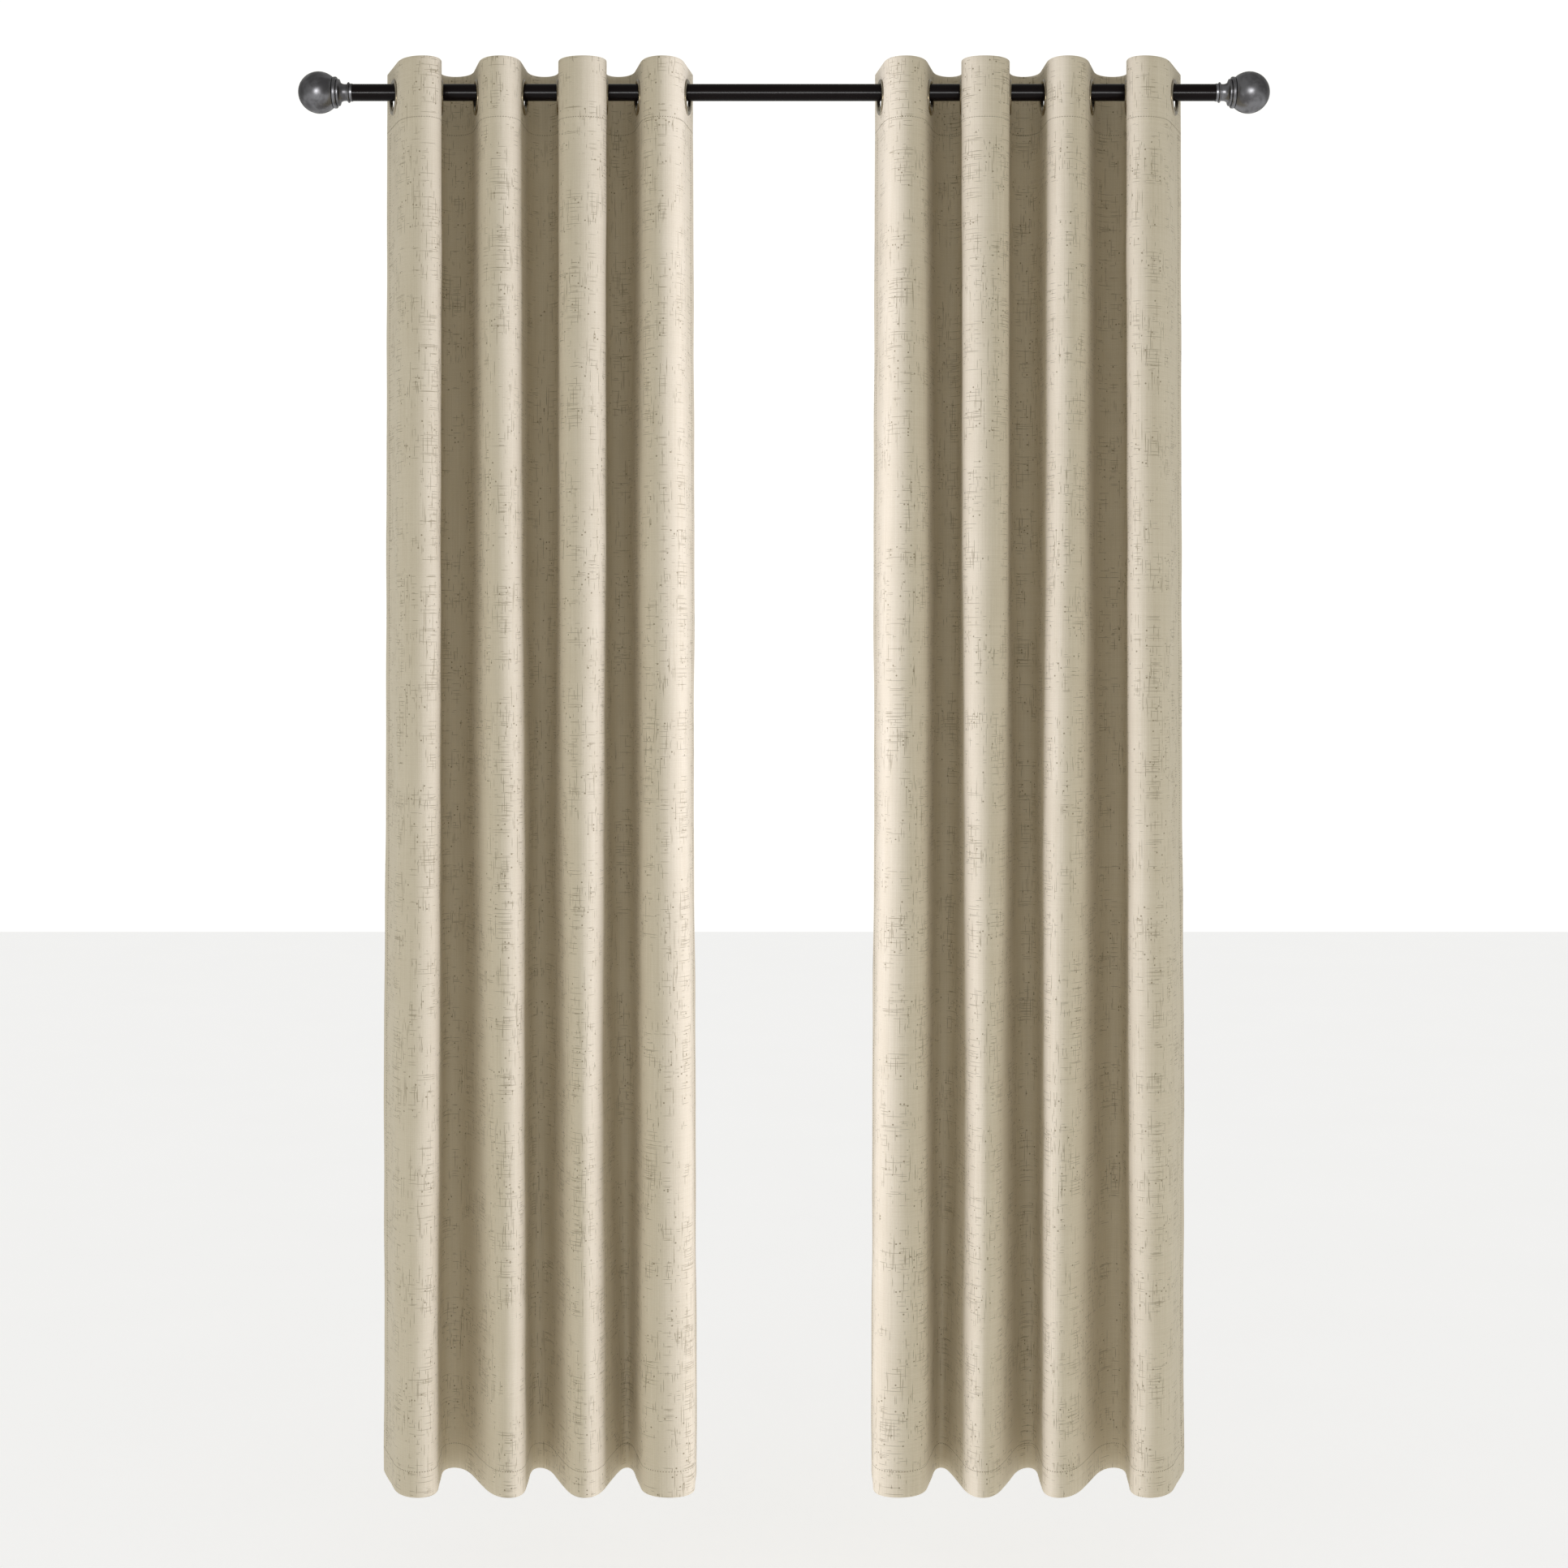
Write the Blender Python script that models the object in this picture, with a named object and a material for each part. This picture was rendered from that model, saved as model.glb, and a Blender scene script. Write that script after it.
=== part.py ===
"""Window curtains on a rod: two grommet-top panels on a tube with ball finials.

Metres, +Z up. The origin is on the rod's axis at mid-length, +X runs along the rod to the
viewer's right and +Y runs away from the room, towards the window.
"""

import math

import bmesh
import bpy
from mathutils import Matrix, Vector

# Rod
ROD_LENGTH = 1.300
ROD_DIAMETER = 0.0254
ROD_WALL = 0.0012

# Curtain cloth: the panel's height and thickness, how far its folds reach in front of and behind
# the rod's axis, and how blunt their crests are (1 is a plain cubic curve)
PANEL_HEIGHT = 2.134
CLOTH_THICKNESS = 0.0012
FRONT_REACH = 0.068
BACK_REACH = 0.063
CREST_BLUNTNESS = 2.0
LEG_MARGIN = 0.007  # flat cloth in front of and behind each grommet's flange
EDGE_MARGIN = 0.023  # cloth from the end grommets' flanges to the side edges
HEADING_MARGIN = 0.019  # cloth above the grommets' flanges

# How the left panel hangs, from its outer to its inner edge: where the outermost grommet is, the
# spacing from each grommet to the next, and the lean of each grommet's leg (sideways over depth)
END_ROOM = 0.062  # from the outermost grommet's centre to the end of the rod
GROMMET_SPACING = (0.0703, 0.0543, 0.0711, 0.0526, 0.0709, 0.0488, 0.0737)
LEG_LEANS = (-0.36, -0.17, -0.255, 0.047, -0.09, -0.10, -0.207, 0.13)

# Grommets: play round the rod, barrel wall, flanges, and how far the barrel enters the back ring
GROMMET_PLAY = 0.0152
BARREL_WALL = 0.0009
FRONT_FLANGE_WIDTH = 0.0067
FRONT_FLANGE_HEIGHT = 0.0024
BACK_FLANGE_WIDTH = 0.0057
BACK_FLANGE_HEIGHT = 0.0018
BARREL_IN_BACK = 0.00135

# Finials: ball, collar rings and neck, stud and the tapped plug in the rod's end
BALL_DIAMETER = 0.0625
BALL_SEAT_LEDGE = 0.0005  # how far the ball's flat seat stays inside its ring
BALL_RING_DIAMETER = 0.047
BALL_RING_WIDTH = 0.0062
SECOND_RING_DIAMETER = 0.040
SECOND_RING_WIDTH = 0.0030
NECK_DIAMETER = 0.025
NECK_LENGTH = 0.0125
SHARP_RING_PROUD = 0.0021  # of the band
SHARP_RING_WIDTH = 0.0032
BAND_PROUD = 0.0006  # of the rod
BAND_WIDTH = 0.0044
STUD_DIAMETER = 0.008
STUD_IN_PLUG = 0.018
STUD_IN_BALL = 0.014
PLUG_LENGTH = 0.026

# Clearances
GAP = 0.0003  # between pieces that touch
HOLE_CLEARANCE = 0.0006  # between the barrel and the cut edge of the cloth
STUD_END_ROOM = 0.002  # past the stud's ends, in the bottoms of its holes

# Facets of round pieces
ROD_FACETS = 32
GROMMET_FACETS = 20
FINIAL_FACETS = 24
FOLD_FACETS = 8
BALL_RINGS = 10

# Sizes that follow from the ones above
GROMMET_BORE = ROD_DIAMETER + GROMMET_PLAY
FRONT_FLANGE_DIAMETER = GROMMET_BORE + 2 * FRONT_FLANGE_WIDTH
BACK_FLANGE_DIAMETER = GROMMET_BORE + 2 * BACK_FLANGE_WIDTH
LEG_STRAIGHT = FRONT_FLANGE_DIAMETER / 2 + LEG_MARGIN
EDGE_REACH = FRONT_FLANGE_DIAMETER / 2 + EDGE_MARGIN
HEADING = FRONT_FLANGE_DIAMETER / 2 + HEADING_MARGIN
BAND_DIAMETER = ROD_DIAMETER + 2 * BAND_PROUD
SHARP_RING_DIAMETER = BAND_DIAMETER + 2 * SHARP_RING_PROUD
BALL_SEAT_DIAMETER = BALL_RING_DIAMETER - 2 * BALL_SEAT_LEDGE

LEFT, RIGHT = -1.0, 1.0
SIDES = {"left": LEFT, "right": RIGHT}


def clear_scene() -> None:
    """Remove every object, so that only this part is left."""
    for old in list(bpy.data.objects):
        bpy.data.objects.remove(old, do_unlink=True)


def material(name, colour, roughness, metallic):
    """A Principled BSDF material with a linear base colour."""
    made = bpy.data.materials.new(name)
    made.use_nodes = True
    shader = made.node_tree.nodes["Principled BSDF"]
    shader.inputs["Base Color"].default_value = (*colour, 1.0)
    shader.inputs["Roughness"].default_value = roughness
    shader.inputs["Metallic"].default_value = metallic
    return made


def add_object(name, mesh, finish, parent=None):
    """Put a mesh in the scene as a named piece with its own material."""
    made = bpy.data.objects.new(name, mesh)
    bpy.context.scene.collection.objects.link(made)
    if not mesh.materials:
        mesh.materials.append(finish)
    made.parent = parent
    return made


def add_empty(name, location=(0, 0, 0), turn=0.0, parent=None):
    """A named frame to hang pieces on, turned about +Z."""
    made = bpy.data.objects.new(name, None)
    bpy.context.scene.collection.objects.link(made)
    made.location = location
    made.rotation_euler = (0, 0, turn)
    made.parent = parent
    return made


def turned_mesh(name, profile, facets, closed):
    """Turn a profile of (along, radius) points about the local X axis.

    A closed profile makes a ring. An open one starts and ends on the axis.
    """
    shape = bmesh.new()
    points = [shape.verts.new((along, 0, radius)) for along, radius in profile]
    for first, second in zip(points, points[1:]):
        shape.edges.new((first, second))
    if closed:
        shape.edges.new((points[-1], points[0]))
    bmesh.ops.spin(
        shape,
        geom=shape.verts[:] + shape.edges[:],
        cent=(0, 0, 0),
        axis=(1, 0, 0),
        angle=math.tau,
        steps=facets,
        use_merge=True,
    )
    bmesh.ops.remove_doubles(shape, verts=shape.verts, dist=1e-6)
    bmesh.ops.recalc_face_normals(shape, faces=shape.faces)
    mesh = bpy.data.meshes.new(name)
    shape.to_mesh(mesh)
    shape.free()
    mesh.shade_smooth()
    mesh.set_sharp_from_angle(angle=math.radians(35))
    return mesh


def arc(centre, radius_along, radius_out, start, end, count):
    """Points on an ellipse's arc, angles in degrees from the +along direction."""
    steps = [math.radians(start + (end - start) * i / count) for i in range(count + 1)]
    return [
        (centre[0] + radius_along * math.cos(a), centre[1] + radius_out * math.sin(a))
        for a in steps
    ]


# ---------------------------------------------------------------- rod and finials


def rod_tube(finish):
    """The plain tube, open at both ends for the plugs."""
    outer = ROD_DIAMETER / 2
    inner = outer - ROD_WALL
    half = ROD_LENGTH / 2
    profile = [(-half, inner), (-half, outer), (half, outer), (half, inner)]
    add_object("rod_tube", turned_mesh("rod_tube", profile, ROD_FACETS, True), finish)


def plug_mesh():
    """The tapped plug: a bush behind the rod's end face, with its hole right through."""
    outer = ROD_DIAMETER / 2 - ROD_WALL - GAP
    hole = STUD_DIAMETER / 2 + GAP
    profile = [(-PLUG_LENGTH, hole), (-PLUG_LENGTH, outer), (0, outer), (0, hole)]
    return turned_mesh("end_plug", profile, FINIAL_FACETS, True)


def collar_rings():
    """The collar's turned stretches from the rod outwards: (where each ends, its diameter)."""
    rings = {}
    reach = GAP
    for name, width, diameter in (
        ("band", BAND_WIDTH, BAND_DIAMETER),
        ("sharp_ring", SHARP_RING_WIDTH, SHARP_RING_DIAMETER),
        ("neck", NECK_LENGTH, NECK_DIAMETER),
        ("second_ring", SECOND_RING_WIDTH, SECOND_RING_DIAMETER),
        ("ball_ring", BALL_RING_WIDTH, BALL_RING_DIAMETER),
    ):
        rings[name] = (reach, reach + width, diameter / 2)
        reach += width
    return rings


def collar_mesh():
    """The turned collar, from the rod's end face out to the ball."""
    rings = collar_rings()
    hole = STUD_DIAMETER / 2 + GAP
    start, end, band = rings["band"]
    profile = [(start, hole), (start, band), (end, band)]
    start, end, sharp = rings["sharp_ring"]
    profile += arc(((start + end) / 2, band), (end - start) / 2, sharp - band, 180, 0, 4)[1:-1]
    start, end, neck = rings["neck"]
    flare = (SECOND_RING_DIAMETER - NECK_DIAMETER) / 2
    profile += arc((start, neck + flare), end - start, flare, 270, 360, 5)
    start, end, second = rings["second_ring"]
    half = (end - start) / 2
    profile += arc(((start + end) / 2, second - half), half, half, 180, 0, 4)
    start, end, largest = rings["ball_ring"]
    half = (end - start) / 2
    profile += arc(((start + end) / 2, largest - half), half, half, 180, 0, 5)
    profile += [(end, hole)]
    return turned_mesh("finial_collar", profile, FINIAL_FACETS, True)


def ball_seat():
    """Where the ball's flat seat lies, out from the rod's end face."""
    return collar_rings()["ball_ring"][1] + GAP


def ball_mesh():
    """The ball, cut flat where it sits on the collar, with a blind hole for the stud."""
    radius = BALL_DIAMETER / 2
    seat_angle = math.asin(BALL_SEAT_DIAMETER / BALL_DIAMETER)
    centre = ball_seat() + radius * math.cos(seat_angle)
    hole = STUD_DIAMETER / 2 + GAP
    bottom = ball_seat() + STUD_IN_BALL + STUD_END_ROOM
    profile = [(bottom, 0), (bottom, hole), (ball_seat(), hole)]
    profile += arc((centre, 0), radius, radius, 180 - math.degrees(seat_angle), 0, BALL_RINGS)
    profile[-1] = (centre + radius, 0)
    return turned_mesh("finial_ball", profile, FINIAL_FACETS, False)


def stud_mesh():
    """The stud that joins the ball, the collar and the plug."""
    radius = STUD_DIAMETER / 2
    start, end = -STUD_IN_PLUG, ball_seat() + STUD_IN_BALL
    profile = [(start, 0), (start, radius), (end, radius), (end, 0)]
    return turned_mesh("finial_stud", profile, GROMMET_FACETS, False)


def rod_ends(finishes):
    """The plug, stud, collar and ball at each end of the rod."""
    pieces = (
        ("end_plug", plug_mesh(), finishes["zinc"]),
        ("finial_stud", stud_mesh(), finishes["zinc"]),
        ("finial_collar", collar_mesh(), finishes["gunmetal"]),
        ("finial_ball", ball_mesh(), finishes["gunmetal"]),
    )
    for side, sign in SIDES.items():
        turn = 0.0 if sign > 0 else math.pi
        end = add_empty(f"{side}_rod_end", (sign * ROD_LENGTH / 2, 0, 0), turn)
        for name, mesh, finish in pieces:
            add_object(f"{side}_{name}", mesh, finish, end)


# ---------------------------------------------------------------- grommets


def grommet_height():
    """The grommets hang on the rod, so their centres lie below its axis."""
    return ROD_DIAMETER / 2 + GAP - GROMMET_BORE / 2


def front_grommet_mesh():
    """The front half: a domed flange on the cloth's face, and the barrel through the cloth."""
    bore = GROMMET_BORE / 2
    barrel = bore + BARREL_WALL
    rim = FRONT_FLANGE_DIAMETER / 2
    face = CLOTH_THICKNESS / 2 + GAP
    back = -face - BARREL_IN_BACK
    middle = (bore + rim) / 2
    dome = arc((face, middle), FRONT_FLANGE_HEIGHT, (rim - bore) / 2, 90, -90, 4)
    profile = [(back, bore), (back, barrel), (face, barrel)] + dome
    return turned_mesh("front_grommet", profile, GROMMET_FACETS, True)


def back_grommet_mesh():
    """The back half: a flatter ring that snaps over the barrel behind the cloth."""
    hole = GROMMET_BORE / 2 + BARREL_WALL + GAP
    rim = BACK_FLANGE_DIAMETER / 2
    face = -CLOTH_THICKNESS / 2 - GAP
    middle = (hole + rim) / 2
    profile = arc((face, middle), -BACK_FLANGE_HEIGHT, (rim - hole) / 2, 90, -90, 3)
    return turned_mesh("back_grommet", profile, GROMMET_FACETS, True)


def grommet_stations():
    """Each grommet of the left panel: (x, lean of its leg, which way its front ring faces)."""
    x = -ROD_LENGTH / 2 + END_ROOM
    stations = []
    for number, (lean, spacing) in enumerate(zip(LEG_LEANS, (*GROMMET_SPACING, 0.0))):
        stations.append((x, lean, RIGHT if number % 2 else LEFT))
        x += spacing
    return stations


def grommets(finish):
    """The two rings of every grommet, square to the cloth's leg that they clamp."""
    halves = (("front", front_grommet_mesh()), ("back", back_grommet_mesh()))
    for side, sign in SIDES.items():
        for number, (x, lean, faces) in enumerate(grommet_stations(), start=1):
            turn = -math.atan(lean) + (math.pi if faces == LEFT else 0.0)
            place = Vector((x, 0, grommet_height()))
            if sign > 0:
                place.x = -x
                turn = math.pi - turn
            seat = add_empty(f"{side}_grommet_{number}", place, turn)
            for half, mesh in halves:
                add_object(f"{side}_grommet_{number}_{half}", mesh, finish, seat)


# ---------------------------------------------------------------- cloth


def fold(start, start_lean, end, end_lean, reach):
    """One round fold between two legs, as points on a weighted cubic curve in plan.

    It leaves and meets each leg in the leg's own direction. Its crest lies at reach, which is
    negative for a front fold.
    """
    straight = math.copysign(LEG_STRAIGHT, reach)
    handle = (reach - straight) * (1 + 3 * CREST_BLUNTNESS) / (3 * CREST_BLUNTNESS)
    depths = (straight, straight + handle)
    first, second = (Vector((start + start_lean * depth, depth)) for depth in depths)
    fourth, third = (Vector((end + end_lean * depth, depth)) for depth in depths)
    points = []
    for i in range(FOLD_FACETS + 1):
        t = i / FOLD_FACETS
        shares = (
            (1 - t) ** 3,
            3 * (1 - t) ** 2 * t * CREST_BLUNTNESS,
            3 * (1 - t) * t**2 * CREST_BLUNTNESS,
            t**3,
        )
        pull = zip((first, second, third, fourth), shares)
        points.append(sum((point * share for point, share in pull), Vector((0, 0))) / sum(shares))
    return points


def panel_path():
    """The left panel's middle line in plan, from its outer edge to its inner edge."""
    stations = grommet_stations()
    first_x, first_lean, _ = stations[0]
    last_x, last_lean, _ = stations[-1]
    path = [Vector((first_x + first_lean * EDGE_REACH, EDGE_REACH))]
    for number, (here, there) in enumerate(zip(stations, stations[1:])):
        reach = BACK_REACH if number % 2 else -FRONT_REACH
        path += fold(here[0], here[1], there[0], there[1], reach)
    path.append(Vector((last_x + last_lean * EDGE_REACH, EDGE_REACH)))
    return path


def offset_path(path, distance):
    """The path moved sideways by a distance, with mitred corners."""
    moved = []
    for i, point in enumerate(path):
        before = (point - path[i - 1]).normalized() if i else None
        after = (path[i + 1] - point).normalized() if i + 1 < len(path) else None
        before, after = before or after, after or before
        sides = [Vector((-way.y, way.x)) for way in (before, after)]
        mitre = (sides[0] + sides[1]).normalized()
        moved.append(point + mitre * (distance / mitre.dot(sides[0])))
    return moved


def panel_mesh(name, sign):
    """The hung cloth: its folded plan raised to the panel's height."""
    top = grommet_height() + HEADING
    path = panel_path()
    rows = [offset_path(path, CLOTH_THICKNESS / 2 * way) for way in (1, -1)]
    shape = bmesh.new()
    near, far = (
        [shape.verts.new((-sign * p.x, p.y, top - PANEL_HEIGHT)) for p in row] for row in rows
    )
    strip = [
        shape.faces.new((near[i], near[i + 1], far[i + 1], far[i])) for i in range(len(path) - 1)
    ]
    raised = bmesh.ops.extrude_face_region(shape, geom=strip)
    corners = [v for v in raised["geom"] if isinstance(v, bmesh.types.BMVert)]
    bmesh.ops.translate(shape, verts=corners, vec=(0, 0, PANEL_HEIGHT))
    bmesh.ops.recalc_face_normals(shape, faces=shape.faces)
    mesh = bpy.data.meshes.new(name)
    shape.to_mesh(mesh)
    shape.free()
    return mesh


def hole_cutter(name, sign):
    """Eight short cylinders, one square through each leg, joined as one cutter."""
    radius = GROMMET_BORE / 2 + BARREL_WALL + HOLE_CLEARANCE
    length = 6 * CLOTH_THICKNESS
    shape = bmesh.new()
    for x, lean, _ in grommet_stations():
        turn = math.atan(lean) * sign
        place = Matrix.Translation((-sign * x, 0, grommet_height()))
        bmesh.ops.create_cone(
            shape,
            cap_ends=True,
            segments=GROMMET_FACETS,
            radius1=radius,
            radius2=radius,
            depth=length,
            matrix=place @ Matrix.Rotation(turn, 4, "Z") @ Matrix.Rotation(math.pi / 2, 4, "Y"),
        )
    mesh = bpy.data.meshes.new(name)
    shape.to_mesh(mesh)
    shape.free()
    cutter = bpy.data.objects.new(name, mesh)
    bpy.context.scene.collection.objects.link(cutter)
    cutter.hide_render = True
    cutter.display_type = "WIRE"
    return cutter


def panels(finish):
    """The two cloth panels, the right one the mirror of the left."""
    for side, sign in SIDES.items():
        name = f"{side}_curtain"
        cloth = add_object(name, panel_mesh(name, sign), finish)
        holes = cloth.modifiers.new("grommet holes", "BOOLEAN")
        holes.operation = "DIFFERENCE"
        holes.solver = "EXACT"
        holes.object = hole_cutter(f"{side}_hole_cutter", sign)


def main() -> None:
    """Build every piece of the curtains."""
    clear_scene()
    finishes = {
        "black": material("black_enamel", (0.008, 0.008, 0.009), 0.35, 0.0),
        "zinc": material("zinc_plate", (0.55, 0.56, 0.57), 0.35, 1.0),
        "gunmetal": material("gunmetal", (0.075, 0.075, 0.085), 0.38, 1.0),
        "nickel": material("brushed_nickel", (0.42, 0.40, 0.37), 0.32, 1.0),
        "linen": material("linen_cloth", (0.58, 0.51, 0.38), 0.9, 0.0),
    }
    rod_tube(finishes["black"])
    rod_ends(finishes)
    panels(finishes["linen"])
    grommets(finishes["nickel"])


main()
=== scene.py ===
"""Looks of the window curtains on a rod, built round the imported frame.

The cloth panels with their sewing, the grommets' rings, the rod and the finials are modelled here.
The plugs and studs inside the rod's ends are the frame's own. Metres, +Z up, +X along the rod to
the viewer's right and +Y towards the window.
"""

import logging
import math
from dataclasses import dataclass, field
from enum import Enum

import bmesh
import bpy
import numpy as np
from mathutils import Matrix, Vector


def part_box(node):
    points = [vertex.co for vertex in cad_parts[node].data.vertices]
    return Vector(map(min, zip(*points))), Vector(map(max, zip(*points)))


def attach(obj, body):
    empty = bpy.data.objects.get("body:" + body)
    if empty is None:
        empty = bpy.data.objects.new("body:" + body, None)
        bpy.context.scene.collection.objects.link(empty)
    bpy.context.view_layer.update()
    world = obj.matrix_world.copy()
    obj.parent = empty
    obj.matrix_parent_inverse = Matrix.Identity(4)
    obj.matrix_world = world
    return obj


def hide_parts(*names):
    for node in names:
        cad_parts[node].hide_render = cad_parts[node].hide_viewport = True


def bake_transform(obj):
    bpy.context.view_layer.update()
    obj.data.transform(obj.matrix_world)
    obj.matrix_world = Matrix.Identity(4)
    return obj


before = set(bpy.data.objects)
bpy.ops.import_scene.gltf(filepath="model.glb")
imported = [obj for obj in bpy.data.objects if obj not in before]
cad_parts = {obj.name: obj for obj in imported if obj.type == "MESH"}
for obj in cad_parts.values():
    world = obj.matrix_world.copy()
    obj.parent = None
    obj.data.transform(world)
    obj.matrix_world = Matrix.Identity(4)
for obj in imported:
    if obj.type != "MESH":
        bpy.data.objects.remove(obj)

log = logging.getLogger("curtains")

MM = 0.001
GROMMETS = 8


class Side(Enum):
    """The two ends of the object. The value is the sign of X there."""

    LEFT = -1
    RIGHT = 1

    @property
    def label(self) -> str:
        """The side's name as the frame's bodies have it."""
        return self.name.lower()

    @property
    def flip(self) -> int:
        """What X of the left half is multiplied by to give X on this side."""
        return -self.value


class RingHalf(Enum):
    """The two halves of a grommet."""

    FRONT = "front"
    BACK = "back"


class StitchRun(Enum):
    """Which way a row of stitches runs on the cloth."""

    ALONG = "along"
    UP = "up"


# ---------------------------------------------------------------- small helpers


def linear(hex_colour: str) -> tuple[float, float, float, float]:
    """Turn an sRGB hex colour into linear RGBA.

    Args:
        hex_colour: The colour as "#RRGGBB".

    Returns:
        The linear red, green and blue, and an alpha of 1.
    """
    channels = [int(hex_colour[i : i + 2], 16) / 255 for i in (1, 3, 5)]
    turned = [c / 12.92 if c <= 0.04045 else ((c + 0.055) / 1.055) ** 2.4 for c in channels]
    return (*turned, 1.0)


def add_node(
    tree: bpy.types.NodeTree, kind: str, inputs: dict | None = None, **settings: object
) -> bpy.types.Node:
    """Add a node with its settings, its sockets' values and its links.

    Args:
        tree: The tree that the node goes in.
        kind: The node's type, such as "ShaderNodeBump".
        inputs: For each socket's name or number, a value or the output socket to link.
        **settings: The node's own properties.

    Returns:
        The new node.
    """
    node = tree.nodes.new(kind)
    for name, value in settings.items():
        setattr(node, name, value)
    for key, value in (inputs or {}).items():
        if isinstance(value, bpy.types.NodeSocket):
            tree.links.new(value, node.inputs[key])
        else:
            node.inputs[key].default_value = value
    return node


def principled(name: str, **sockets: object) -> tuple[bpy.types.Material, bpy.types.Node]:
    """Make a material with one Principled BSDF.

    Args:
        name: The material's name.
        **sockets: Constant values for the shader's sockets, with _ for the spaces in their names.

    Returns:
        The material and its shader node.
    """
    material = bpy.data.materials.new(name)
    material.use_nodes = True
    shader = material.node_tree.nodes["Principled BSDF"]
    for key, value in sockets.items():
        shader.inputs[key.replace("_", " ")].default_value = value
    return material, shader


def add_piece(
    name: str, mesh: bpy.types.Mesh, material: bpy.types.Material
) -> bpy.types.Object:
    """Put a finished mesh in the scene as a piece.

    Args:
        name: The piece's name.
        mesh: Its mesh, in place.
        material: Its finish.

    Returns:
        The new object, at the origin.
    """
    mesh.materials.clear()
    mesh.materials.append(material)
    piece = bpy.data.objects.new(name, mesh)
    bpy.context.scene.collection.objects.link(piece)
    log.info("%s: %d faces, %s", name, len(mesh.polygons), material.name)
    return piece


def stand_in(piece: bpy.types.Object, body: str, node: str) -> None:
    """Let a piece ride on a body in place of one of the frame's nodes.

    Args:
        piece: The finished piece.
        body: The body that it rides on.
        node: The frame's node that it stands for.
    """
    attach(piece, body)
    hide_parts(node)


def mottle(
    shader: bpy.types.Node,
    share: bpy.types.NodeSocket,
    colours: tuple[str, str],
    rough: dict[str, float] | None = None,
    relief: tuple[bpy.types.NodeSocket, float] | None = None,
) -> None:
    """Give a shader an uneven colour, and the roughness and relief that go with it.

    Args:
        shader: The shader node.
        share: Where the second colour shows, from 0 to 1.
        colours: The two colours.
        rough: The range that the roughness runs over with the share.
        relief: A height and the strength of its bumps, which are 0.05 mm high.
    """
    tree = shader.id_data
    first, second = (linear(colour) for colour in colours)
    mixed = {"Factor": share, 6: first, 7: second}
    made = {"Base Color": add_node(tree, "ShaderNodeMix", mixed, data_type="RGBA").outputs[2]}
    if rough:
        spread = add_node(tree, "ShaderNodeMapRange", {"Value": share, **rough})
        made["Roughness"] = spread.outputs[0]
    if relief:
        height, strength = relief
        bump = {"Height": height, "Strength": strength, "Distance": 0.05 * MM}
        made["Normal"] = add_node(tree, "ShaderNodeBump", bump).outputs["Normal"]
    for socket, output in made.items():
        tree.links.new(output, shader.inputs[socket])


def smooth_mesh(name: str, shape: bmesh.types.BMesh, sharp_degrees: float) -> bpy.types.Mesh:
    """Turn a bmesh into a smooth-shaded mesh and free it.

    Args:
        name: The mesh's name.
        shape: The bmesh.
        sharp_degrees: Edges that turn more than this stay sharp.

    Returns:
        The new mesh.
    """
    mesh = bpy.data.meshes.new(name)
    shape.to_mesh(mesh)
    shape.free()
    mesh.shade_smooth()
    mesh.set_sharp_from_angle(angle=math.radians(sharp_degrees))
    return mesh


def arc(
    centre: tuple[float, float], radii: tuple[float, float], start: float, end: float, count: int
) -> list[tuple[float, float]]:
    """Points on an ellipse's arc.

    Args:
        centre: Along and out.
        radii: Along and out.
        start: First angle in degrees, from +along towards +out.
        end: Last angle in degrees.
        count: Number of steps.

    Returns:
        The points as (along, out).
    """
    angles = [math.radians(start + (end - start) * i / count) for i in range(count + 1)]
    return [
        (centre[0] + radii[0] * math.cos(a), centre[1] + radii[1] * math.sin(a)) for a in angles
    ]


def lathe(
    profile: list[tuple[float, float]], steps: int, closed: bool, place: Matrix
) -> bmesh.types.BMesh:
    """Turn a profile about the local X axis.

    Args:
        profile: Points of (along, radius).
        steps: Facets in a full turn.
        closed: True for a ring; False where the profile starts or ends on the axis.
        place: Where the turned shape goes.

    Returns:
        A closed bmesh, in place.
    """
    shape = bmesh.new()
    points = [shape.verts.new((along, 0, radius)) for along, radius in profile]
    for first, second in zip(points, points[1:]):
        shape.edges.new((first, second))
    if closed:
        shape.edges.new((points[-1], points[0]))
    bmesh.ops.spin(
        shape,
        geom=shape.verts[:] + shape.edges[:],
        cent=(0, 0, 0),
        axis=(1, 0, 0),
        angle=math.tau,
        steps=steps,
        use_merge=True,
    )
    bmesh.ops.remove_doubles(shape, verts=shape.verts, dist=1e-6)
    bmesh.ops.transform(shape, matrix=place, verts=shape.verts)
    bmesh.ops.recalc_face_normals(shape, faces=shape.faces)
    return shape


def repeat(shape: bmesh.types.BMesh, count: int, apart: float) -> None:
    """Copy a small shape at the origin until there are that many, in a line along +X.

    Args:
        shape: The shape to copy.
        count: How many there are at the end.
        apart: The distance from each to the next.
    """
    made = 1
    while made < count:
        copied = bmesh.ops.duplicate(shape, geom=shape.verts[:] + shape.edges[:] + shape.faces[:])
        corners = [v for v in copied["geom"] if isinstance(v, bmesh.types.BMVert)]
        bmesh.ops.translate(shape, verts=corners, vec=(made * apart, 0, 0))
        made *= 2
    spare = [v for v in shape.verts if v.co.x > (count - 0.5) * apart]
    bmesh.ops.delete(shape, geom=spare, context="VERTS")


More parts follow.
